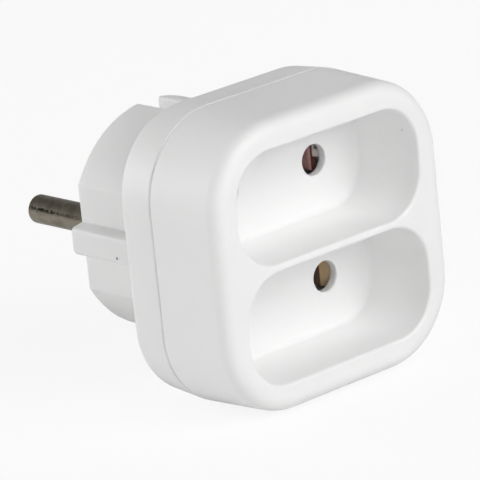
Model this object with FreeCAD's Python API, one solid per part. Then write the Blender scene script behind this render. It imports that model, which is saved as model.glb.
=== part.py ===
import FreeCAD, Part
import math
import os

V = FreeCAD.Vector

# Two-way unearthed socket adapter for a round recessed wall socket, in millimetres.
# Origin: centre of the plug's end face, midway between the pins.
# +Y runs out along the pins, +Z is up, and the front face with the two sockets looks to -Y.

# Housing, two shells that meet at the seam
HOUSING_W = 50.0          # over the seam, left to right
HOUSING_H = 48.3          # over the seam, bottom to top
HOUSING_R = 14.0          # corner radius at the seam
FRONT_DEPTH = 14.6        # seam to front face
REAR_DEPTH = 7.8          # seam to rear face
FRONT_DRAFT = 2.6         # degrees, front shell narrows towards the front
REAR_DRAFT = 5.0          # degrees, rear shell narrows towards the wall
FRONT_EDGE_R = 2.5
REAR_EDGE_R = 1.5
SHELL_T = 2.2             # outer walls of both shells
FACE_T = 2.0              # front face beside the recesses
REAR_WALL_T = 2.0
FRONT_SEAM_R = 0.5        # rounded edges that leave a soft groove at the seam
REAR_SEAM_R = 0.25
LIP_T = 0.9               # tongue of the front shell, inside the rear shell
LIP_L = 1.5
LIP_CLEARANCE = 0.1

# Socket recesses, one above the other
RECESS_W = 39.4
RECESS_H = 18.2
RECESS_R = 7.4
RECESS_DEPTH = 13.6
RECESS_DRAFT = 1.0        # degrees
RECESS_RIM_R = 0.5
RECESS_FLOOR_R = 0.8
POCKET_T = 1.4            # walls round each recess
FLOOR_T = 1.5
SOCKET_PITCH = 19.5       # upper to lower socket
MATING_PIN_D = 4.8        # pins of the plugs that go in
HOLE_CLEARANCE = 0.15     # round such a pin in its entry hole
HOLE_PITCH = 19.2         # left to right entry hole
HOLE_RIM_R = 0.2          # rounded mouth that leads the pin in

# Plug body
PLUG_D = 37.6
PLUG_L = 18.9
PLUG_FLATS = 33.4         # across the two side flats
PLUG_WALL_T = 1.6
END_WALL_T = 2.5
PLUG_EDGE_R = 0.5
GUIDE_RIB_OUT = 2.4       # guide ribs stand this far off the flats
GUIDE_RIB_H = 5.2         # at the flat
GUIDE_RIB_TOP_H = 4.4     # at the outer face, before its edges are rounded
GUIDE_RIB_EDGE_R = 0.8
CLIP_SLOT_W = 4.2         # slots that clear a wall socket's earth clips
CLIP_SLOT_D = 3.0
CLIP_SLOT_EDGE_R = 0.5
CLIP_SLOT_WALL_T = 1.8

# Pins
PIN_D = 4.8
PIN_L = 19.2
PIN_PITCH = 19.0          # also the pitch of the clips
PIN_TIP_R = 0.5
PIN_SEAT_D = 5.6          # in the end wall
PIN_SEAT_CLEARANCE = 0.05
PIN_COLLAR_D = 7.4
PIN_COLLAR_T = 1.5
PIN_TAIL_D = 3.0
PIN_HEAD_D = 4.0          # riveted end of the tail
PIN_HEAD_T = 0.8

# Contact strips, clips and rivets
STRIP_W = 6.0
STRIP_T = 1.0
CLIP_T = 0.5
CLIP_PIN_CLEARANCE = 0.05  # from a mating pin to each leaf, with the clip drawn open
CLIP_BASE_SPREAD = 0.15   # each leaf stands out this much further at its base
CLIP_FLARE = 0.75         # and this much further at the end of its lip
CLIP_LEAF_H = 3.0         # leaf inside the plug body
CLIP_WING_H = 5.8         # leaf behind the entry hole
CLIP_LIP_L = 2.1          # flared stretch
CLIP_FINGER_L = 1.2       # narrow end of an upper clip's lips
CLIP_FINGER_H = 1.4
CLIP_GAP_TO_FLOOR = 0.3
CLIP_BEND_R = 0.7
RIVET_D = 1.8
RIVET_HEAD_D = 3.2
RIVET_HEAD_T = 0.6
METAL_CLEARANCE = 0.05    # rivets and tails in their holes

# Closing screw and what carries it
SCREW_D = 2.9
SCREW_L = 14.0
SCREW_HEAD_D = 5.5
SCREW_HEAD_T = 1.9
SCREW_HEAD_EDGE_R = 0.5
SCREW_CROSS_L = 3.0
SCREW_CROSS_W = 0.8
SCREW_CROSS_D = 1.1
SCREW_RECESS_D = 6.2
SCREW_RECESS_DEPTH = 2.2
SCREW_SEAT_T = 4.0        # from the seat to the end of its sleeve
SCREW_SLEEVE_T = 1.2
SCREW_CLEARANCE = 0.15
THREAD_CLEARANCE = 0.05
BOSS_D = 6.6
BOSS_HOLE_SPARE = 1.0
CLAMP_GAP = 0.1           # between parts that meet end to end when closed

# Ribs and posts of the shells
POST_W = 1.6              # posts behind the pins
POST_H = 6.0
BARRIER_T = 1.2
BARRIER_H = 25.0
BARRIER_SHORT = 2.0       # barrier ends this far before the strips
FENCE_T = 1.0
FENCE_L = 3.6
FENCE_H = 6.4
FENCE_GAP = 0.3
PAD_W = 3.0
PAD_H = 1.2
PAD_AT = 5.2              # pads under a strip, above and below its pin

# Planes across the part
Y_END = 0.0
Y_REAR = Y_END - PLUG_L
Y_SEAM = Y_REAR - REAR_DEPTH
Y_FACE = Y_SEAM - FRONT_DEPTH
Y_FLOOR = Y_FACE + RECESS_DEPTH
Y_FLOOR_BACK = Y_FLOOR + FLOOR_T
Y_END_INSIDE = Y_END - END_WALL_T
Y_STRIP_BACK = Y_END_INSIDE - PIN_COLLAR_T
Y_STRIP = Y_STRIP_BACK - STRIP_T
Y_CLIP_MOUTH = Y_FLOOR_BACK + CLIP_GAP_TO_FLOOR
Y_SCREW_SEAT = Y_END - SCREW_RECESS_DEPTH
Y_SLEEVE = Y_SCREW_SEAT - SCREW_SEAT_T

HOLE_D = MATING_PIN_D + 2 * HOLE_CLEARANCE
CLIP_THROAT = MATING_PIN_D + 2 * CLIP_PIN_CLEARANCE
CLIP_BASE_GAP = CLIP_THROAT + 2 * CLIP_BASE_SPREAD
CLIP_MOUTH = CLIP_THROAT + 2 * CLIP_FLARE

PIN_X = PIN_PITCH / 2
SOCKET_Z = SOCKET_PITCH / 2
OVERRUN = 1.0             # how far a cutting body runs past what it cuts
TOUCH = 0.01              # an edge this near a plane lies in it


def box(x0, x1, y0, y1, z0, z1):
    return Part.makeBox(x1 - x0, y1 - y0, z1 - z0, V(x0, y0, z0))


def rod(diameter, y0, y1, x=0.0, z=0.0):
    return Part.makeCylinder(diameter / 2, y1 - y0, V(x, y0, z), V(0, 1, 0))


def line(a, b):
    return Part.LineSegment(V(*a, 0), V(*b, 0)).toShape()


def arc(centre, radius, start, end):
    # Arc in the section plane, with its angles in degrees from the outward direction
    def point(angle):
        turn = math.radians(angle)
        return V(centre[0] + radius * math.cos(turn), centre[1] + radius * math.sin(turn), 0)
    return Part.Arc(point(start), point((start + end) / 2), point(end)).toShape()


def rounded_body(width, height, radius, section, centre_z=0.0):
    # Body with a rounded-rectangle outline. Its wall section is drawn in the XY plane: X is the
    # distance out from a corner's axis and Y is the depth. Corners are turned, sides are drawn out.
    half_x = width / 2 - radius
    half_z = height / 2 - radius
    face = Part.Face(Part.Wire(section))
    low = face.BoundBox.YMin
    high = face.BoundBox.YMax
    corner = face.revolve(V(0, 0, 0), V(0, -1, 0), 90)
    pieces = []
    for turn, x, z in ((0, half_x, half_z), (90, -half_x, half_z),
                       (180, -half_x, -half_z), (270, half_x, -half_z)):
        piece = corner.copy()
        piece.rotate(V(0, 0, 0), V(0, -1, 0), turn)
        piece.translate(V(x, 0, z))
        pieces.append(piece)
        run = 2 * (half_z if turn in (0, 180) else half_x)
        side = face.extrude(V(0, 0, -run))
        side.rotate(V(0, 0, 0), V(0, -1, 0), turn)
        side.translate(V(x, 0, z))
        pieces.append(side)
    pieces.append(box(-half_x, half_x, low, high, -half_z, half_z))
    body = pieces[0].multiFuse(pieces[1:]).removeSplitter()
    body.translate(V(0, 0, centre_z))
    return body


def straight_section(radius, y0, y1):
    return [line((0, y0), (radius, y0)), line((radius, y0), (radius, y1)),
            line((radius, y1), (0, y1)), line((0, y1), (0, y0))]


def shell_block(inset, y0, y1):
    # Plain block that follows the housing's outline, set in from it at the seam
    return rounded_body(HOUSING_W - 2 * inset, HOUSING_H - 2 * inset, HOUSING_R - inset,
                        straight_section(HOUSING_R - inset, y0, y1))


def tapered_section(radius, y_wide, y_narrow, draft, seam_r, edge_r):
    # Wall section that leans in by the draft, from a rounded seam edge to a rounded end edge
    ahead = 1 if y_narrow > y_wide else -1
    slope = math.radians(draft)
    seam_c = (radius - seam_r * math.tan(slope) - seam_r / math.cos(slope), y_wide + ahead * seam_r)
    seam_t = (seam_c[0] + seam_r * math.cos(slope), seam_c[1] + ahead * seam_r * math.sin(slope))
    r_end = radius - abs(y_narrow - y_wide) * math.tan(slope)
    centre = (r_end + (edge_r - edge_r * math.sin(slope)) * math.tan(slope)
              - edge_r * math.cos(slope), y_narrow - ahead * edge_r)
    tangent = (centre[0] + edge_r * math.cos(slope), centre[1] + ahead * edge_r * math.sin(slope))
    return [line((0, y_wide), (seam_c[0], y_wide)),
            arc(seam_c, seam_r, -ahead * 90, ahead * draft),
            line(seam_t, tangent),
            arc(centre, edge_r, ahead * draft, ahead * 90),
            line((centre[0], y_narrow), (0, y_narrow)),
            line((0, y_narrow), (0, y_wide))]


def plain_tapered_section(radius, y_wide, y_narrow, draft):
    r_end = radius - abs(y_narrow - y_wide) * math.tan(math.radians(draft))
    return [line((0, y_wide), (radius, y_wide)), line((radius, y_wide), (r_end, y_narrow)),
            line((r_end, y_narrow), (0, y_narrow)), line((0, y_narrow), (0, y_wide))]


def recess_section():
    # Section of the space in a recess: flared rim, drafted wall and rounded floor edge
    slope = math.radians(RECESS_DRAFT)
    run = RECESS_DEPTH * math.tan(slope)
    r_floor = RECESS_R - run
    floor_c = (r_floor + RECESS_FLOOR_R * math.tan(slope) * (1 - math.sin(slope))
               - RECESS_FLOOR_R * math.cos(slope), Y_FLOOR - RECESS_FLOOR_R)
    floor_t = (floor_c[0] + RECESS_FLOOR_R * math.cos(slope),
               floor_c[1] + RECESS_FLOOR_R * math.sin(slope))
    rim_c = (RECESS_R - RECESS_RIM_R * math.tan(slope) * (1 + math.sin(slope))
             + RECESS_RIM_R * math.cos(slope), Y_FACE + RECESS_RIM_R)
    rim_t = (rim_c[0] - RECESS_RIM_R * math.cos(slope), rim_c[1] - RECESS_RIM_R * math.sin(slope))
    top = Y_FACE - OVERRUN
    return [line((0, Y_FLOOR), (floor_c[0], Y_FLOOR)),
            arc(floor_c, RECESS_FLOOR_R, 90, RECESS_DRAFT),
            line(floor_t, rim_t),
            arc(rim_c, RECESS_RIM_R, 180 + RECESS_DRAFT, 270),
            line((rim_c[0], Y_FACE), (rim_c[0], top)),
            line((rim_c[0], top), (0, top)),
            line((0, top), (0, Y_FLOOR))]


def socket_places(half_pitch):
    # Upper and lower socket, left and right pole of each
    return [(side * half_pitch, level * SOCKET_Z) for level in (1, -1) for side in (-1, 1)]


def front_cover():
    outer = rounded_body(HOUSING_W, HOUSING_H, HOUSING_R,
                         tapered_section(HOUSING_R, Y_SEAM, Y_FACE, FRONT_DRAFT, FRONT_SEAM_R, FRONT_EDGE_R))
    inner_r = HOUSING_R - SHELL_T
    inner = rounded_body(HOUSING_W - 2 * SHELL_T, HOUSING_H - 2 * SHELL_T, inner_r,
                         plain_tapered_section(inner_r, Y_SEAM, Y_FACE + FACE_T, FRONT_DRAFT))
    lip_outside = shell_block(SHELL_T - LIP_T, Y_SEAM - OVERRUN, Y_SEAM + LIP_L)
    lip = lip_outside.cut(shell_block(SHELL_T, Y_SEAM - 2 * OVERRUN, Y_SEAM + LIP_L + OVERRUN))
    cover = outer.cut(inner).fuse(lip)
    for level in (1, -1):
        pocket = rounded_body(RECESS_W + 2 * POCKET_T, RECESS_H + 2 * POCKET_T, RECESS_R + POCKET_T,
                              straight_section(RECESS_R + POCKET_T, Y_FACE + FACE_T / 2, Y_FLOOR_BACK),
                              level * SOCKET_Z)
        cover = cover.fuse(pocket)
    cover = cover.fuse(inner_ribs())
    for level in (1, -1):
        recess = rounded_body(RECESS_W, RECESS_H, RECESS_R, recess_section(), level * SOCKET_Z)
        cover = cover.cut(recess)
    for x, z in socket_places(HOLE_PITCH / 2):
        cover = cover.cut(entry_hole(x, z))
    pilot_d = SCREW_D + 2 * THREAD_CLEARANCE
    pilot_end = Y_SCREW_SEAT - SCREW_L - BOSS_HOLE_SPARE
    cover = cover.cut(rod(pilot_d, pilot_end, Y_SLEEVE + OVERRUN))
    return cover.removeSplitter()


def entry_hole(x, z):
    # Space of an entry hole: straight bore and a rounded mouth in the recess floor
    radius = HOLE_D / 2
    rim_out = radius + HOLE_RIM_R
    section = [line((0, Y_FLOOR - OVERRUN), (rim_out, Y_FLOOR - OVERRUN)),
               line((rim_out, Y_FLOOR - OVERRUN), (rim_out, Y_FLOOR)),
               arc((rim_out, Y_FLOOR + HOLE_RIM_R), HOLE_RIM_R, 270, 180),
               line((radius, Y_FLOOR + HOLE_RIM_R), (radius, Y_FLOOR_BACK + OVERRUN)),
               line((radius, Y_FLOOR_BACK + OVERRUN), (0, Y_FLOOR_BACK + OVERRUN)),
               line((0, Y_FLOOR_BACK + OVERRUN), (0, Y_FLOOR - OVERRUN))]
    space = Part.Face(Part.Wire(section)).revolve(V(0, 0, 0), V(0, 1, 0), 360)
    space.translate(V(x, 0, z))
    return space


def inner_ribs():
    # Screw boss, barrier between the poles, posts that hold the pins in, fences round the clips
    root = Y_FLOOR_BACK - FLOOR_T / 2
    ribs = rod(BOSS_D, root, Y_SLEEVE - CLAMP_GAP)
    barrier_end = Y_STRIP - BARRIER_SHORT
    parts = [box(-BARRIER_T / 2, BARRIER_T / 2, root, barrier_end, -BARRIER_H / 2, BARRIER_H / 2)]
    post_end = Y_STRIP - PIN_HEAD_T - CLAMP_GAP
    for x in (-PIN_X, PIN_X):
        parts.append(box(x - POST_W / 2, x + POST_W / 2, root, post_end, -POST_H / 2, POST_H / 2))
    reach = CLIP_MOUTH / 2 + CLIP_T + FENCE_GAP
    for x, z in socket_places(PIN_X):
        for side in (-1, 1):
            near = x + side * reach
            far = near + side * FENCE_T
            parts.append(box(min(near, far), max(near, far), root, Y_FLOOR_BACK + FENCE_L,
                             z - FENCE_H / 2, z + FENCE_H / 2))
    return ribs.multiFuse(parts)


def guide_rib(side):
    flat = side * PLUG_FLATS / 2
    outer = flat + side * GUIDE_RIB_OUT
    root = flat - side * PLUG_WALL_T / 2
    half = GUIDE_RIB_H / 2
    half_top = GUIDE_RIB_TOP_H / 2
    corners = [V(root, Y_REAR, -half), V(flat, Y_REAR, -half), V(outer, Y_REAR, -half_top),
               V(outer, Y_REAR, half_top), V(flat, Y_REAR, half), V(root, Y_REAR, half)]
    rib = Part.Face(Part.makePolygon(corners + corners[:1])).extrude(V(0, PLUG_L, 0))
    edges = [e for e in rib.Edges if along_y(e) and abs(e.CenterOfMass.x - outer) < TOUCH]
    return rib.makeFillet(GUIDE_RIB_EDGE_R, edges)


def along_y(edge):
    size = edge.BoundBox
    return size.YLength > PLUG_L / 2 and size.XLength < TOUCH and size.ZLength < TOUCH


def plug_outside():
    body = rod(PLUG_D, Y_REAR, Y_END)
    slot_floor = PLUG_D / 2 - CLIP_SLOT_D
    for side in (-1, 1):
        edge = side * PLUG_D
        flat = side * PLUG_FLATS / 2
        body = body.cut(box(min(edge, flat), max(edge, flat), Y_REAR - OVERRUN, Y_END + OVERRUN,
                            -PLUG_D, PLUG_D))
        low = min(side * slot_floor, side * PLUG_D)
        body = body.cut(box(-CLIP_SLOT_W / 2, CLIP_SLOT_W / 2, Y_REAR, Y_END + OVERRUN,
                            low, low + PLUG_D - slot_floor))
    mouth = [e for e in body.Edges
             if along_y(e) and abs(abs(e.CenterOfMass.x) - CLIP_SLOT_W / 2) < TOUCH
             and abs(e.CenterOfMass.z) > PLUG_D / 2 - CLIP_SLOT_D / 2]
    body = body.makeFillet(CLIP_SLOT_EDGE_R, mouth)
    body = body.fuse([guide_rib(-1), guide_rib(1)]).removeSplitter()
    rim = [e for e in body.Edges if abs(e.BoundBox.YMin - Y_END) < TOUCH and e.BoundBox.YLength < TOUCH]
    return body.makeFillet(PLUG_EDGE_R, rim)


def plug_inside():
    # Space inside the plug body, open towards the housing
    space = rod(PLUG_D - 2 * PLUG_WALL_T, Y_REAR - REAR_WALL_T - OVERRUN, Y_END_INSIDE)
    half_flat = PLUG_FLATS / 2 - PLUG_WALL_T
    half_slot = CLIP_SLOT_W / 2 + CLIP_SLOT_WALL_T
    under_slot = PLUG_D / 2 - CLIP_SLOT_D - CLIP_SLOT_WALL_T
    space = space.common(box(-half_flat, half_flat, Y_REAR - PLUG_L, Y_END, -PLUG_D, PLUG_D))
    for side in (-1, 1):
        low = min(side * under_slot, side * PLUG_D)
        space = space.cut(box(-half_slot, half_slot, Y_REAR - REAR_WALL_T, Y_END,
                              low, low + PLUG_D - under_slot))
    return space


def rear_cover():
    outer = rounded_body(HOUSING_W, HOUSING_H, HOUSING_R,
                         tapered_section(HOUSING_R, Y_SEAM, Y_REAR, REAR_DRAFT, REAR_SEAM_R, REAR_EDGE_R))
    cavity_r = HOUSING_R - SHELL_T
    cavity = rounded_body(HOUSING_W - 2 * SHELL_T, HOUSING_H - 2 * SHELL_T, cavity_r,
                          plain_tapered_section(cavity_r, Y_SEAM, Y_REAR - REAR_WALL_T, REAR_DRAFT))
    rebate = shell_block(SHELL_T - LIP_T - LIP_CLEARANCE, Y_SEAM - OVERRUN,
                         Y_SEAM + LIP_L + LIP_CLEARANCE)
    cover = outer.fuse(plug_outside())
    cover = cover.cut(cavity).cut(rebate).cut(plug_inside())
    cover = cover.fuse(rod(SCREW_RECESS_D + 2 * SCREW_SLEEVE_T, Y_SLEEVE, Y_END_INSIDE + OVERRUN))
    for side in (-1, 1):
        for level in (-1, 1):
            x = side * PIN_X
            z = level * PAD_AT
            pad = box(x - PAD_W / 2, x + PAD_W / 2, Y_STRIP_BACK, Y_END_INSIDE + OVERRUN,
                      z - PAD_H / 2, z + PAD_H / 2)
            cover = cover.fuse(pad)
        hole_d = PIN_SEAT_D + 2 * PIN_SEAT_CLEARANCE
        cover = cover.cut(rod(hole_d, Y_END_INSIDE - OVERRUN, Y_END + OVERRUN, side * PIN_X))
    cover = cover.cut(rod(SCREW_RECESS_D, Y_SCREW_SEAT, Y_END + OVERRUN))
    cover = cover.cut(rod(SCREW_D + 2 * SCREW_CLEARANCE, Y_SLEEVE - OVERRUN, Y_END))
    return cover.removeSplitter()


def pin(side):
    # Turned pin: plain shank with a rounded tip, seat in the end wall, collar, riveted tail
    x = side * PIN_X
    shank = rod(PIN_D, Y_END, Y_END + PIN_L, x)
    tip = [e for e in shank.Edges if abs(e.BoundBox.YMin - Y_END - PIN_L) < TOUCH]
    shank = shank.makeFillet(PIN_TIP_R, tip)
    head_y = Y_STRIP - PIN_HEAD_T
    parts = [rod(PIN_SEAT_D, Y_END_INSIDE, Y_END, x),
             rod(PIN_COLLAR_D, Y_STRIP_BACK, Y_END_INSIDE, x),
             rod(PIN_TAIL_D, Y_STRIP, Y_STRIP_BACK, x),
             rod(PIN_HEAD_D, head_y, Y_STRIP, x)]
    return shank.multiFuse(parts).removeSplitter()


def contact_strip(side):
    # Stamped strip with round ends: one hole for the pin's tail, two for the clips' rivets
    x = side * PIN_X
    strip = box(x - STRIP_W / 2, x + STRIP_W / 2, Y_STRIP, Y_STRIP_BACK, -SOCKET_Z, SOCKET_Z)
    ends = [rod(STRIP_W, Y_STRIP, Y_STRIP_BACK, x, level * SOCKET_Z) for level in (-1, 1)]
    strip = strip.multiFuse(ends).removeSplitter()
    hole_y = (Y_STRIP - OVERRUN, Y_STRIP_BACK + OVERRUN)
    strip = strip.cut(rod(PIN_TAIL_D + 2 * METAL_CLEARANCE, *hole_y, x))
    for level in (-1, 1):
        strip = strip.cut(rod(RIVET_D + 2 * METAL_CLEARANCE, *hole_y, x, level * SOCKET_Z))
    return strip


def spring_clip(x, z, finger_tips):
    # Folded clip: a base riveted to the strip and two leaves with flared lips
    y_base = Y_STRIP - CLIP_T
    y_throat = Y_CLIP_MOUTH + CLIP_LIP_L
    inside = [(CLIP_MOUTH / 2, Y_CLIP_MOUTH), (CLIP_THROAT / 2, y_throat), (CLIP_BASE_GAP / 2, y_base)]
    outside = [(u + CLIP_T, y) for u, y in inside[:2]] + [(CLIP_BASE_GAP / 2 + CLIP_T, Y_STRIP)]
    left = [(-u, y) for u, y in reversed(outside)]
    inner_left = [(-u, y) for u, y in inside]
    inner_right = list(reversed(inside))
    outline = outside + left + inner_left + inner_right
    wing = CLIP_WING_H / 2
    points = [V(x + u, y, z - wing) for u, y in outline]
    clip = Part.Face(Part.makePolygon(points + points[:1])).extrude(V(0, 0, CLIP_WING_H))
    bends = [e for e in clip.Edges if e.BoundBox.ZLength > wing
             and abs(e.CenterOfMass.y - Y_STRIP) < TOUCH]
    clip = clip.makeFillet(CLIP_BEND_R, bends)
    reach = CLIP_MOUTH
    wing_end = Y_REAR - REAR_WALL_T - CLIP_GAP_TO_FLOOR
    leaf = CLIP_LEAF_H / 2
    clip = clip.cut(box(x - reach, x + reach, wing_end, Y_STRIP + OVERRUN, z + leaf, z + CLIP_WING_H))
    clip = clip.cut(box(x - reach, x + reach, wing_end, Y_STRIP + OVERRUN, z - CLIP_WING_H, z - leaf))
    if finger_tips:
        finger = CLIP_FINGER_H / 2
        y0 = Y_CLIP_MOUTH - OVERRUN
        y1 = Y_CLIP_MOUTH + CLIP_FINGER_L
        clip = clip.cut(box(x - reach, x + reach, y0, y1, z + finger, z + CLIP_WING_H))
        clip = clip.cut(box(x - reach, x + reach, y0, y1, z - CLIP_WING_H, z - finger))
    return clip.cut(rod(RIVET_D + 2 * METAL_CLEARANCE, y_base - OVERRUN, Y_STRIP + OVERRUN, x, z))


def clip_rivets():
    rivets = []
    front = Y_STRIP - CLIP_T
    for x, z in socket_places(PIN_X):
        shank = rod(RIVET_D, front, Y_STRIP_BACK, x, z)
        heads = [rod(RIVET_HEAD_D, front - RIVET_HEAD_T, front, x, z),
                 rod(RIVET_HEAD_D, Y_STRIP_BACK, Y_STRIP_BACK + RIVET_HEAD_T, x, z)]
        rivets.append(shank.multiFuse(heads).removeSplitter())
    return Part.makeCompound(rivets)


def cover_screw():
    head = rod(SCREW_HEAD_D, Y_SCREW_SEAT, Y_SCREW_SEAT + SCREW_HEAD_T)
    top = Y_SCREW_SEAT + SCREW_HEAD_T
    rim = [e for e in head.Edges if abs(e.BoundBox.YMin - top) < TOUCH]
    head = head.makeFillet(SCREW_HEAD_EDGE_R, rim)
    half_l = SCREW_CROSS_L / 2
    half_w = SCREW_CROSS_W / 2
    low = top - SCREW_CROSS_D
    head = head.cut(box(-half_l, half_l, low, top + OVERRUN, -half_w, half_w))
    head = head.cut(box(-half_w, half_w, low, top + OVERRUN, -half_l, half_l))
    point = Part.makeCone(0.0, SCREW_D / 2, SCREW_D / 2, V(0, Y_SCREW_SEAT - SCREW_L, 0), V(0, 1, 0))
    shank = rod(SCREW_D, Y_SCREW_SEAT - SCREW_L + SCREW_D / 2, Y_SCREW_SEAT)
    return head.multiFuse([shank, point]).removeSplitter()


def write(name, shape):
    if shape.ShapeType == "Compound" and len(shape.Solids) == 1:
        shape = shape.Solids[0]
    shape.exportStep("parts/" + name + ".step")
    print(name, len(shape.Solids), "solids", round(shape.Volume, 1), "mm3", shape.isValid())


def main():
    os.makedirs("parts", exist_ok=True)
    write("front_cover", front_cover())
    write("rear_cover", rear_cover())
    write("left_pin", pin(-1))
    write("right_pin", pin(1))
    write("left_strip", contact_strip(-1))
    write("right_strip", contact_strip(1))
    for level_name, level in (("upper", 1), ("lower", -1)):
        for side_name, side in (("left", -1), ("right", 1)):
            clip = spring_clip(side * PIN_X, level * SOCKET_Z, level > 0)
            write(level_name + "_" + side_name + "_clip", clip)
    write("clip_rivets", clip_rivets())
    write("cover_screw", cover_screw())


main()
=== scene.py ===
import math

import bpy
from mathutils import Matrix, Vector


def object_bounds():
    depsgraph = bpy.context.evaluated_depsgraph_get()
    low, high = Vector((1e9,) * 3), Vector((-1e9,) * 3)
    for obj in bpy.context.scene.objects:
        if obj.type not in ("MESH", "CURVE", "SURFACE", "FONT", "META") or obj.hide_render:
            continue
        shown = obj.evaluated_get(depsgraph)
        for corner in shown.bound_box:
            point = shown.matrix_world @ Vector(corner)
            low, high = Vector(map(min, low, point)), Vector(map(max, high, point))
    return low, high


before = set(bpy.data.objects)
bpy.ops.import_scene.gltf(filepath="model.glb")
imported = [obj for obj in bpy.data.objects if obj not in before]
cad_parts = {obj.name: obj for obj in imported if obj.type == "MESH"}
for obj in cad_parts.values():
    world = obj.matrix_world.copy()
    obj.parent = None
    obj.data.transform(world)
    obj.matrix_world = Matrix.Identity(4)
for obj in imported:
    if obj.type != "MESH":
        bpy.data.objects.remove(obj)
cad_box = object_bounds()

# Looks of a white two-way socket adapter with nickel-plated pins. Metres, in the part's own frame:
# +Y out along the pins, +Z up, and the front face with the sockets looks to -Y. The shapes are all
# those of the solids: this script gives them their finishes, light and camera.

MM = 0.001

# Camera at the photograph's viewing angle
CAMERA_PLACE = (-0.48546, -0.56571, 0.21771)
CAMERA_TURN = (73.1705, 5.6520, -43.3053)   # degrees about X, Y and Z
LENS = 358.34
SENSOR = 36.0

# Floor under the housing, wide enough to pass the horizon for any view
FLOOR_HALF = 6.0
FLOOR_COLOUR = (0.86, 0.86, 0.86, 1.0)
FLOOR_SEEN = (0.15, 0.15, 0.15, 1.0)        # what the camera sees of it
FLOOR_GLOW = 0.86                           # and the glow over it that lifts it nearly to white

# Studio: a bright backdrop behind the plug, dimmer on its right, and a dark room round the camera.
# Azimuth in degrees, 0 in front of the sockets and negative to the left; brightness at that azimuth.
ROOM_WHITE = (1.0, 1.0, 1.0, 1.0)
BACKDROP = [(-180.0, 3.4), (-160.0, 6.8), (-120.0, 2.4), (-80.0, 0.0),
            (80.0, 0.0), (120.0, 3.6), (160.0, 0.6), (180.0, 3.4)]
BACKDROP_TOP = (0.2, 0.55)                  # sine of the elevations between which it fades out

# What gloss and metal mirror of the room: sine of the elevation and brightness, darker overhead
MIRRORED = [(0.0, 0.20), (0.15, 0.26), (0.3, 0.27), (0.5, 0.20), (0.75, 0.14)]

# Specks, dirt on the plastics and a painted dark reflection on the pin: centre and radius in metres,
# squeeze, scale of its grit, raggedness
ROUND = (1.0, 1.0, 1.0)
ALONG_PIN = (1.0, 0.03, 1.0)
RIB_SPECK = ((-0.0191, -0.01077, -0.00126), 0.00026, ROUND, 6000.0, 1.0)
WALL_SPECK = ((0.01933, -0.0383, 0.01353), 0.00014, ROUND, 6000.0, 1.0)
# Painted reflection on the left pin: a dark, pitted streak along its side that stands in for a jagged
# dark reflection
PIN_PAINTED_DARK_REFLECTION = ((-0.01176, 0.0155, 0.00082), 0.00062, ALONG_PIN, 2600.0, 2.25)
DIRT = (0.30, 0.29, 0.28, 1.0)
# Colour of the painted dark reflection on the pin
PAINTED_REFLECTION_DARK = (0.05, 0.043, 0.033, 1.0)

# Soft lamps: name, azimuth and elevation in degrees, distance and width in metres, watts
LAMPS = [
    ("front_softbox", 5.0, 10.0, 2.4, 1.4, 7.4),
    ("left_softbox", -70.0, 12.0, 2.4, 1.6, 3.6),
    ("low_softbox", -30.0, 12.0, 2.4, 1.0, 7.2),
    ("high_softbox", 0.0, 40.0, 2.4, 1.6, 20.6),
    ("top_softbox", 0.0, 70.0, 2.4, 1.6, 3.4),
    ("key_softbox", 25.0, 30.0, 2.4, 1.4, 12.6),
]

# Finishes: bright and dull colour, then the least and greatest roughness
FRONT_WHITE = ((0.970, 0.970, 0.967, 1.0), (0.958, 0.958, 0.954, 1.0))
# The rear cover's white is set darker than the front cover's as painted shade
REAR_WHITE_PAINTED_SHADE = ((0.900, 0.900, 0.897, 1.0), (0.888, 0.888, 0.884, 1.0))
PLASTIC_ROUGH = (0.34, 0.46)
PLASTIC_IOR = 1.47
NICKEL = ((0.45, 0.413, 0.34, 1.0), (0.325, 0.283, 0.21, 1.0), 0.10, 0.20)
ZINC = ((0.62, 0.63, 0.65, 1.0), (0.45, 0.46, 0.48, 1.0), 0.25, 0.40)
STRIP_BRASS = ((0.78, 0.60, 0.32, 1.0), (0.55, 0.40, 0.20, 1.0), 0.25, 0.40)
COPPER_LEAF = ((0.97, 0.60, 0.58, 1.0), (0.92, 0.52, 0.50, 1.0), 0.40, 0.55)
SPRING_LEAF = ((0.36, 0.23, 0.16, 1.0), (0.26, 0.17, 0.12, 1.0), 0.40, 0.55)

# Surface: scales of the patterns, per metre, and heights of the relief in metres
PLASTIC_GRAIN, PLASTIC_WAVES, PLASTIC_RELIEF = 3200.0, 90.0, 0.00002
LEAF_GRAIN, LEAF_WAVES, LEAF_CLOUD, LEAF_RELIEF = 2400.0, 500.0, 700.0, 0.00001
RING_PITCH, TURNED_CLOUD, TURNED_RELIEF = 9000.0, 420.0, 0.000012
RUB_SCALE = 2600.0
DENT_SCALE, DENT_DEPTH = 3500.0, 3.4        # dents are this much deeper than the turned rings
GRAIN_DEPTH = 0.12                          # the grain's depth against the waves'
SPECK_EDGE = (1.6, 1.2)                     # where a speck starts, and where it is full
TARNISH_RANGE = (0.38, 0.66)

# How far light spreads through the moulding: share, reach of red, green and blue, metres
SPREAD_SHARE, SPREAD_REACH, SPREAD_SCALE = 0.5, (1.0, 1.0, 0.95), 0.001

# Bands across the clips, in millimetres: where each ends on the Y axis, its least height, its colour. The
# bands are painted light, not colours of the metal.
# Upper clips: the dark band at the bend and beside the finger is painted shade, and the pale finger tip
# over 9.2 mm is a painted highlight
COPPER_PAINTED_SHADE_AND_HIGHLIGHT = ((-24.2, None, (0.20, 0.08, 0.06, 1.0)), (-24.55, 9.2, (0.98, 0.92, 0.87, 1.0)))
# Lower clips: the tan lip nearest the mouth is a painted reflection, lighter than the rest of the leaf
SPRING_PAINTED_REFLECTION = ((-23.8, None, (0.98, 0.71, 0.43, 1.0)),)


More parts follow.
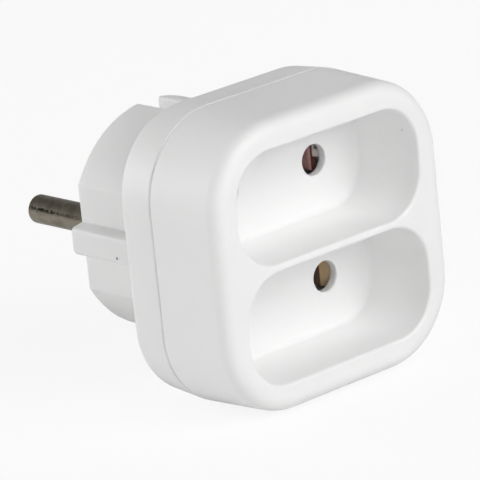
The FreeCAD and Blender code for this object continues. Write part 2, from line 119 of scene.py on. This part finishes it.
def new_material(name):
    material = bpy.data.materials.new(name)
    material.use_nodes = True
    tree = material.node_tree
    shader = tree.nodes["Principled BSDF"]
    return material, tree, shader


def add(tree, kind, **values):
    node = tree.nodes.new(kind)
    for key, value in values.items():
        if key in node.inputs:
            node.inputs[key].default_value = value
        else:
            setattr(node, key, value)
    return node


def join(tree, source, output, target, socket):
    tree.links.new(source.outputs[output], target.inputs[socket])


def object_place(tree):
    return add(tree, "ShaderNodeTexCoord")


def math_node(tree, operation, a, b):
    # a and b are numbers or (node, output) pairs
    node = add(tree, "ShaderNodeMath", operation=operation)
    for index, value in enumerate((a, b)):
        if isinstance(value, tuple):
            tree.links.new(value[0].outputs[value[1]], node.inputs[index])
        else:
            node.inputs[index].default_value = value
    return node


def new_group(name, inputs, outputs):
    # inputs and outputs: (name, socket kind) pairs
    group = bpy.data.node_groups.new(name, "ShaderNodeTree")
    for socket, kind in inputs:
        group.interface.new_socket(name=socket, in_out="INPUT", socket_type=kind)
    for socket, kind in outputs:
        group.interface.new_socket(name=socket, in_out="OUTPUT", socket_type=kind)
    start = group.nodes.new("NodeGroupInput")
    end = group.nodes.new("NodeGroupOutput")
    return group, start, end


FLOAT = "NodeSocketFloat"
VECTOR = "NodeSocketVector"


def moulded_skin_group():
    # Surface of a moulded part: fine spark-eroded grain over broad, shallow flow waves
    group, start, end = new_group("moulded_skin", [("Place", VECTOR), ("Grain", FLOAT), ("Waves", FLOAT)],
                                  [("Height", FLOAT), ("Tone", FLOAT)])
    fine = add(group, "ShaderNodeTexNoise", Detail=3.0, Roughness=0.6)
    broad = add(group, "ShaderNodeTexNoise", Detail=2.0, Roughness=0.45)
    join(group, start, "Place", fine, "Vector")
    join(group, start, "Place", broad, "Vector")
    join(group, start, "Grain", fine, "Scale")
    join(group, start, "Waves", broad, "Scale")
    small = math_node(group, "MULTIPLY", (fine, "Fac"), GRAIN_DEPTH)
    both = math_node(group, "ADD", (small, 0), (broad, "Fac"))
    group.links.new(both.outputs[0], end.inputs["Height"])
    group.links.new(broad.outputs["Fac"], end.inputs["Tone"])
    return group


def speck_group():
    # A speck, of dirt on the plastics and of painted dark reflection on the pin: 1 near its centre, 0
    # past its radius, with a ragged edge. A small Squeeze along one axis draws it out into a streak, and
    # a high Rag breaks it up into pits.
    group, start, end = new_group("speck", [("Place", VECTOR), ("Centre", VECTOR), ("Squeeze", VECTOR),
                                            ("Radius", FLOAT), ("Grit", FLOAT), ("Rag", FLOAT)],
                                  [("Mask", FLOAT)])
    noise = add(group, "ShaderNodeTexNoise", Detail=1.0)
    join(group, start, "Place", noise, "Vector")
    join(group, start, "Grit", noise, "Scale")
    ragged = math_node(group, "MULTIPLY", (noise, "Fac"), (start, "Rag"))
    ends = []
    for point in ("Place", "Centre"):
        squeezed = add(group, "ShaderNodeVectorMath", operation="MULTIPLY")
        join(group, start, point, squeezed, 0)
        join(group, start, "Squeeze", squeezed, 1)
        ends.append(squeezed)
    away = add(group, "ShaderNodeVectorMath", operation="DISTANCE")
    join(group, ends[0], 0, away, 0)
    join(group, ends[1], 0, away, 1)
    share = math_node(group, "DIVIDE", (away, "Value"), (start, "Radius"))
    spread = math_node(group, "ADD", (share, 0), (ragged, 0))
    inside = add(group, "ShaderNodeMapRange", interpolation_type="SMOOTHSTEP")
    inside.inputs["From Min"].default_value, inside.inputs["From Max"].default_value = SPECK_EDGE
    join(group, spread, 0, inside, "Value")
    group.links.new(inside.outputs["Result"], end.inputs["Mask"])
    return group


def turned_group():
    # Tool marks of a turned part: fine rings about the Y axis, uneven in depth
    group, start, end = new_group("turned_rings", [("Place", VECTOR), ("Pitch", FLOAT)],
                                  [("Height", FLOAT), ("Streak", FLOAT)])
    stretch = add(group, "ShaderNodeMapping", Scale=(0.02, 1.0, 0.02))
    join(group, start, "Place", stretch, "Vector")
    rings = add(group, "ShaderNodeTexNoise", Detail=4.0, Roughness=0.7)
    join(group, stretch, "Vector", rings, "Vector")
    join(group, start, "Pitch", rings, "Scale")
    along = add(group, "ShaderNodeMapping", Scale=(1.0, 0.03, 1.0))
    join(group, start, "Place", along, "Vector")
    rubs = add(group, "ShaderNodeTexNoise", Scale=RUB_SCALE, Detail=3.0, Roughness=0.6)
    join(group, along, "Vector", rubs, "Vector")
    dents = add(group, "ShaderNodeTexNoise", Scale=DENT_SCALE, Detail=2.0, Roughness=0.7)
    join(group, start, "Place", dents, "Vector")
    dented = math_node(group, "MULTIPLY", (dents, "Fac"), DENT_DEPTH)
    height = math_node(group, "ADD", (rings, "Fac"), (dented, 0))
    group.links.new(height.outputs[0], end.inputs["Height"])
    group.links.new(rubs.outputs["Fac"], end.inputs["Streak"])
    return group


def tarnish_group():
    # Cloudy tarnish: 0 on bright metal, 1 where it has dulled
    group, start, end = new_group("tarnish", [("Place", VECTOR), ("Size", FLOAT)], [("Mask", FLOAT)])
    cloud = add(group, "ShaderNodeTexNoise", Detail=5.0, Roughness=0.62)
    join(group, start, "Place", cloud, "Vector")
    join(group, start, "Size", cloud, "Scale")
    spread = add(group, "ShaderNodeMapRange", interpolation_type="SMOOTHSTEP")
    spread.inputs["From Min"].default_value, spread.inputs["From Max"].default_value = TARNISH_RANGE
    join(group, cloud, "Fac", spread, "Value")
    group.links.new(spread.outputs["Result"], end.inputs["Mask"])
    return group


SKIN = moulded_skin_group()
SPECK = speck_group()
TURNED = turned_group()
TARNISH = tarnish_group()


def use_group(tree, group, place, **values):
    node = tree.nodes.new("ShaderNodeGroup")
    node.node_tree = group
    for key, value in values.items():
        node.inputs[key].default_value = value
    tree.links.new(place.outputs["Object"], node.inputs["Place"])
    return node


def mix_colours(tree, factor, a, b):
    # factor is a (node, output) pair; a and b are colours or (node, output) pairs
    mix = add(tree, "ShaderNodeMix", data_type="RGBA")
    tree.links.new(factor[0].outputs[factor[1]], mix.inputs["Factor"])
    for socket, value in ((6, a), (7, b)):
        if isinstance(value[0], float):
            mix.inputs[socket].default_value = value
        else:
            tree.links.new(value[0].outputs[value[1]], mix.inputs[socket])
    return mix


def spread_range(tree, source, low, high):
    spread = add(tree, "ShaderNodeMapRange")
    tree.links.new(source[0].outputs[source[1]], spread.inputs["Value"])
    spread.inputs["To Min"].default_value = low
    spread.inputs["To Max"].default_value = high
    return spread


def bump(tree, height, shader, distance):
    node = add(tree, "ShaderNodeBump", Distance=distance, Strength=1.0)
    tree.links.new(height[0].outputs[height[1]], node.inputs["Height"])
    tree.links.new(node.outputs["Normal"], shader.inputs["Normal"])


def lay_dirt_and_painted_reflection(tree, place, colour, specks, speck_colour):
    # Lays specks over a mixed colour: dirt on the plastics, and a painted dark reflection on the pin
    for centre, radius, squeeze, grit, rag in specks:
        speck = use_group(tree, SPECK, place, Centre=centre, Radius=radius, Squeeze=squeeze,
                          Grit=grit, Rag=rag)
        colour = mix_colours(tree, (speck, "Mask"), (colour, 2), speck_colour)
    return colour


def white_plastic(name, bright, dull, specks=()):
    material, tree, shader = new_material(name)
    place = object_place(tree)
    skin = use_group(tree, SKIN, place, Grain=PLASTIC_GRAIN, Waves=PLASTIC_WAVES)
    colour = mix_colours(tree, (skin, "Tone"), dull, bright)
    colour = lay_dirt_and_painted_reflection(tree, place, colour, specks, DIRT)
    tree.links.new(colour.outputs[2], shader.inputs["Base Color"])
    rough = spread_range(tree, (skin, "Tone"), *PLASTIC_ROUGH)
    tree.links.new(rough.outputs["Result"], shader.inputs["Roughness"])
    shader.inputs["IOR"].default_value = PLASTIC_IOR
    # Light spreads a little way through the moulding and softens its thin edges
    shader.inputs["Subsurface Weight"].default_value = SPREAD_SHARE
    shader.inputs["Subsurface Radius"].default_value = SPREAD_REACH
    shader.inputs["Subsurface Scale"].default_value = SPREAD_SCALE
    bump(tree, (skin, "Height"), shader, PLASTIC_RELIEF)
    return material


def turned_metal(name, bright, dull, rough_low, rough_high, specks=()):
    material, tree, shader = new_material(name)
    place = object_place(tree)
    shader.inputs["Metallic"].default_value = 1.0
    rings = use_group(tree, TURNED, place, Pitch=RING_PITCH)
    cloud = use_group(tree, TARNISH, place, Size=TURNED_CLOUD)
    colour = mix_colours(tree, (cloud, "Mask"), bright, dull)
    # Specks here are a painted dark reflection streak
    colour = lay_dirt_and_painted_reflection(tree, place, colour, specks, PAINTED_REFLECTION_DARK)
    tree.links.new(colour.outputs[2], shader.inputs["Base Color"])
    rough = spread_range(tree, (rings, "Streak"), rough_low, rough_high)
    tree.links.new(rough.outputs["Result"], shader.inputs["Roughness"])
    bump(tree, (rings, "Height"), shader, TURNED_RELIEF)
    return material


def below(tree, source, edge, soft=0.08):
    # 1 where the value lies under the edge, 0 over it; both in millimetres
    mask = add(tree, "ShaderNodeMapRange", interpolation_type="SMOOTHSTEP")
    mask.inputs["From Min"].default_value = (edge + soft) * MM
    mask.inputs["From Max"].default_value = (edge - soft) * MM
    tree.links.new(source[0].outputs[source[1]], mask.inputs["Value"])
    return mask


def stamped_metal(name, bright, dull, rough_low, rough_high, metallic=1.0, painted_light_bands=()):
    # The bands across the clips are painted light: painted shade, a painted highlight and a painted
    # reflection; later ones lie on top
    material, tree, shader = new_material(name)
    place = object_place(tree)
    shader.inputs["Metallic"].default_value = metallic
    skin = use_group(tree, SKIN, place, Grain=LEAF_GRAIN, Waves=LEAF_WAVES)
    cloud = use_group(tree, TARNISH, place, Size=LEAF_CLOUD)
    colour = mix_colours(tree, (cloud, "Mask"), bright, dull)
    split = add(tree, "ShaderNodeSeparateXYZ")
    join(tree, place, "Object", split, 0)
    for far_y, least_z, painted_tint in painted_light_bands:
        mask = below(tree, (split, "Y"), far_y)
        if least_z is not None:
            under = below(tree, (split, "Z"), least_z)
            over = math_node(tree, "SUBTRACT", (mask, "Result"), (under, "Result"))
            mask = math_node(tree, "MAXIMUM", (over, 0), 0.0)
        colour = mix_colours(tree, (mask, 0), (colour, 2), painted_tint)
    tree.links.new(colour.outputs[2], shader.inputs["Base Color"])
    rough = spread_range(tree, (skin, "Tone"), rough_low, rough_high)
    tree.links.new(rough.outputs["Result"], shader.inputs["Roughness"])
    bump(tree, (skin, "Height"), shader, LEAF_RELIEF)
    return material


def dress(node, material):
    # Gives a carried-over node its finish
    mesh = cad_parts[node].data
    if not mesh.materials:
        mesh.materials.append(None)
    for index in range(len(mesh.materials)):
        mesh.materials[index] = material


def dress_all():
    front = white_plastic("front_white", *FRONT_WHITE, [WALL_SPECK])
    # The rear cover takes the darker white, which is painted shade
    rear = white_plastic("rear_white_painted_shade", *REAR_WHITE_PAINTED_SHADE, [RIB_SPECK])
    # The left pin carries the painted dark reflection streak
    nickel = {"left": turned_metal("left_nickel", *NICKEL, [PIN_PAINTED_DARK_REFLECTION]),
              "right": turned_metal("right_nickel", *NICKEL)}
    brass = stamped_metal("strip_brass", *STRIP_BRASS)
    copper = stamped_metal("copper_leaf", *COPPER_LEAF, 0.0, COPPER_PAINTED_SHADE_AND_HIGHLIGHT)
    spring = stamped_metal("spring_leaf", *SPRING_LEAF, 0.0, SPRING_PAINTED_REFLECTION)
    zinc = turned_metal("zinc", *ZINC)
    dress("front_cover", front)
    dress("rear_cover", rear)
    for side in ("left", "right"):
        dress(side + "_pin", nickel[side])
        dress(side + "_strip", brass)
        dress("upper_" + side + "_clip", copper)
        dress("lower_" + side + "_clip", spring)
    dress("clip_rivets", brass)
    dress("cover_screw", zinc)


def lay_floor():
    low = cad_box[0][2]
    bpy.ops.object.select_all(action="DESELECT")
    bpy.ops.mesh.primitive_plane_add(size=2 * FLOOR_HALF, location=(0.0, 0.0, low))
    floor = bpy.context.object
    floor.name = "floor"
    material, tree, shader = new_material("pale_floor")
    shader.inputs["Roughness"].default_value = 0.9
    shader.inputs["Specular IOR Level"].default_value = 0.0
    path = add(tree, "ShaderNodeLightPath")
    colour = mix_colours(tree, (path, "Is Camera Ray"), FLOOR_COLOUR, FLOOR_SEEN)
    tree.links.new(colour.outputs[2], shader.inputs["Base Color"])
    glow = math_node(tree, "MULTIPLY", (path, "Is Camera Ray"), FLOOR_GLOW)
    shader.inputs["Emission Color"].default_value = ROOM_WHITE
    tree.links.new(glow.outputs[0], shader.inputs["Emission Strength"])
    floor.data.materials.append(material)


def ramp(tree, source, low, high, stops):
    # Brightness along a run of values: stops are (value, brightness) pairs
    along = add(tree, "ShaderNodeMapRange")
    along.inputs["From Min"].default_value = low
    along.inputs["From Max"].default_value = high
    join(tree, *source, along, "Value")
    node = add(tree, "ShaderNodeValToRGB")
    elements = node.color_ramp.elements
    while len(elements) < len(stops):
        elements.new(1.0)
    peak = max(brightness for value, brightness in stops)
    for element, (value, brightness) in zip(elements, stops):
        element.position = (value - low) / (high - low)
        element.color = [brightness / peak] * 3 + [1.0]
    join(tree, along, "Result", node, "Fac")
    return math_node(tree, "MULTIPLY", (node, "Color"), peak)


def light_room():
    world = bpy.data.worlds.new("studio")
    bpy.context.scene.world = world
    world.use_nodes = True
    tree = world.node_tree
    back = tree.nodes["Background"]
    back.inputs["Color"].default_value = ROOM_WHITE
    way = add(tree, "ShaderNodeTexCoord")
    split = add(tree, "ShaderNodeSeparateXYZ")
    join(tree, way, "Generated", split, 0)
    forward = math_node(tree, "MULTIPLY", (split, "Y"), -1.0)
    azimuth = math_node(tree, "ARCTAN2", (split, "X"), (forward, 0))
    stops = [(math.radians(angle), brightness) for angle, brightness in BACKDROP]
    round_it = ramp(tree, (azimuth, 0), -math.pi, math.pi, stops)
    fade = add(tree, "ShaderNodeMapRange")
    fade.inputs["From Min"].default_value = BACKDROP_TOP[1]
    fade.inputs["From Max"].default_value = BACKDROP_TOP[0]
    join(tree, split, "Z", fade, "Value")
    lit = math_node(tree, "MULTIPLY", (round_it, 0), (fade, "Result"))
    mirrored = ramp(tree, (split, "Z"), 0.0, 1.0, MIRRORED)
    path = add(tree, "ShaderNodeLightPath")
    which = add(tree, "ShaderNodeMix")
    join(tree, path, "Is Glossy Ray", which, 0)
    join(tree, lit, 0, which, 2)
    join(tree, mirrored, 0, which, 3)
    seen = math_node(tree, "MAXIMUM", (path, "Is Camera Ray"), (path, "Is Transmission Ray"))
    level = add(tree, "ShaderNodeMix")
    join(tree, seen, 0, level, 0)
    join(tree, which, 0, level, 2)
    level.inputs[3].default_value = 1.0
    tree.links.new(level.outputs[0], back.inputs["Strength"])


def soft_lamp(name, azimuth, elevation, distance, width, power):
    # Azimuth 0 is in front of the sockets, negative to the left, seen from the front
    turn = math.radians(azimuth)
    rise = math.radians(elevation)
    data = bpy.data.lights.new(name, "AREA")
    data.shape = "SQUARE"
    data.size = width
    data.energy = power
    lamp = bpy.data.objects.new(name, data)
    bpy.context.collection.objects.link(lamp)
    centre_y = (cad_box[0][1] + cad_box[1][1]) / 2
    lamp.location = (distance * math.sin(turn) * math.cos(rise),
                     centre_y - distance * math.cos(turn) * math.cos(rise),
                     distance * math.sin(rise))
    lamp.rotation_euler = (math.radians(90.0) - rise, 0.0, turn)


def place_camera():
    data = bpy.data.cameras.new("camera")
    data.lens = LENS
    data.sensor_width = SENSOR
    data.clip_start = 0.01
    data.clip_end = 50.0
    camera = bpy.data.objects.new("camera", data)
    bpy.context.collection.objects.link(camera)
    camera.location = CAMERA_PLACE
    camera.rotation_euler = [math.radians(a) for a in CAMERA_TURN]
    bpy.context.scene.camera = camera


dress_all()
lay_floor()
light_room()
for lamp in LAMPS:
    soft_lamp(*lamp)
place_camera()

bpy.context.scene.view_settings.view_transform = "Standard"
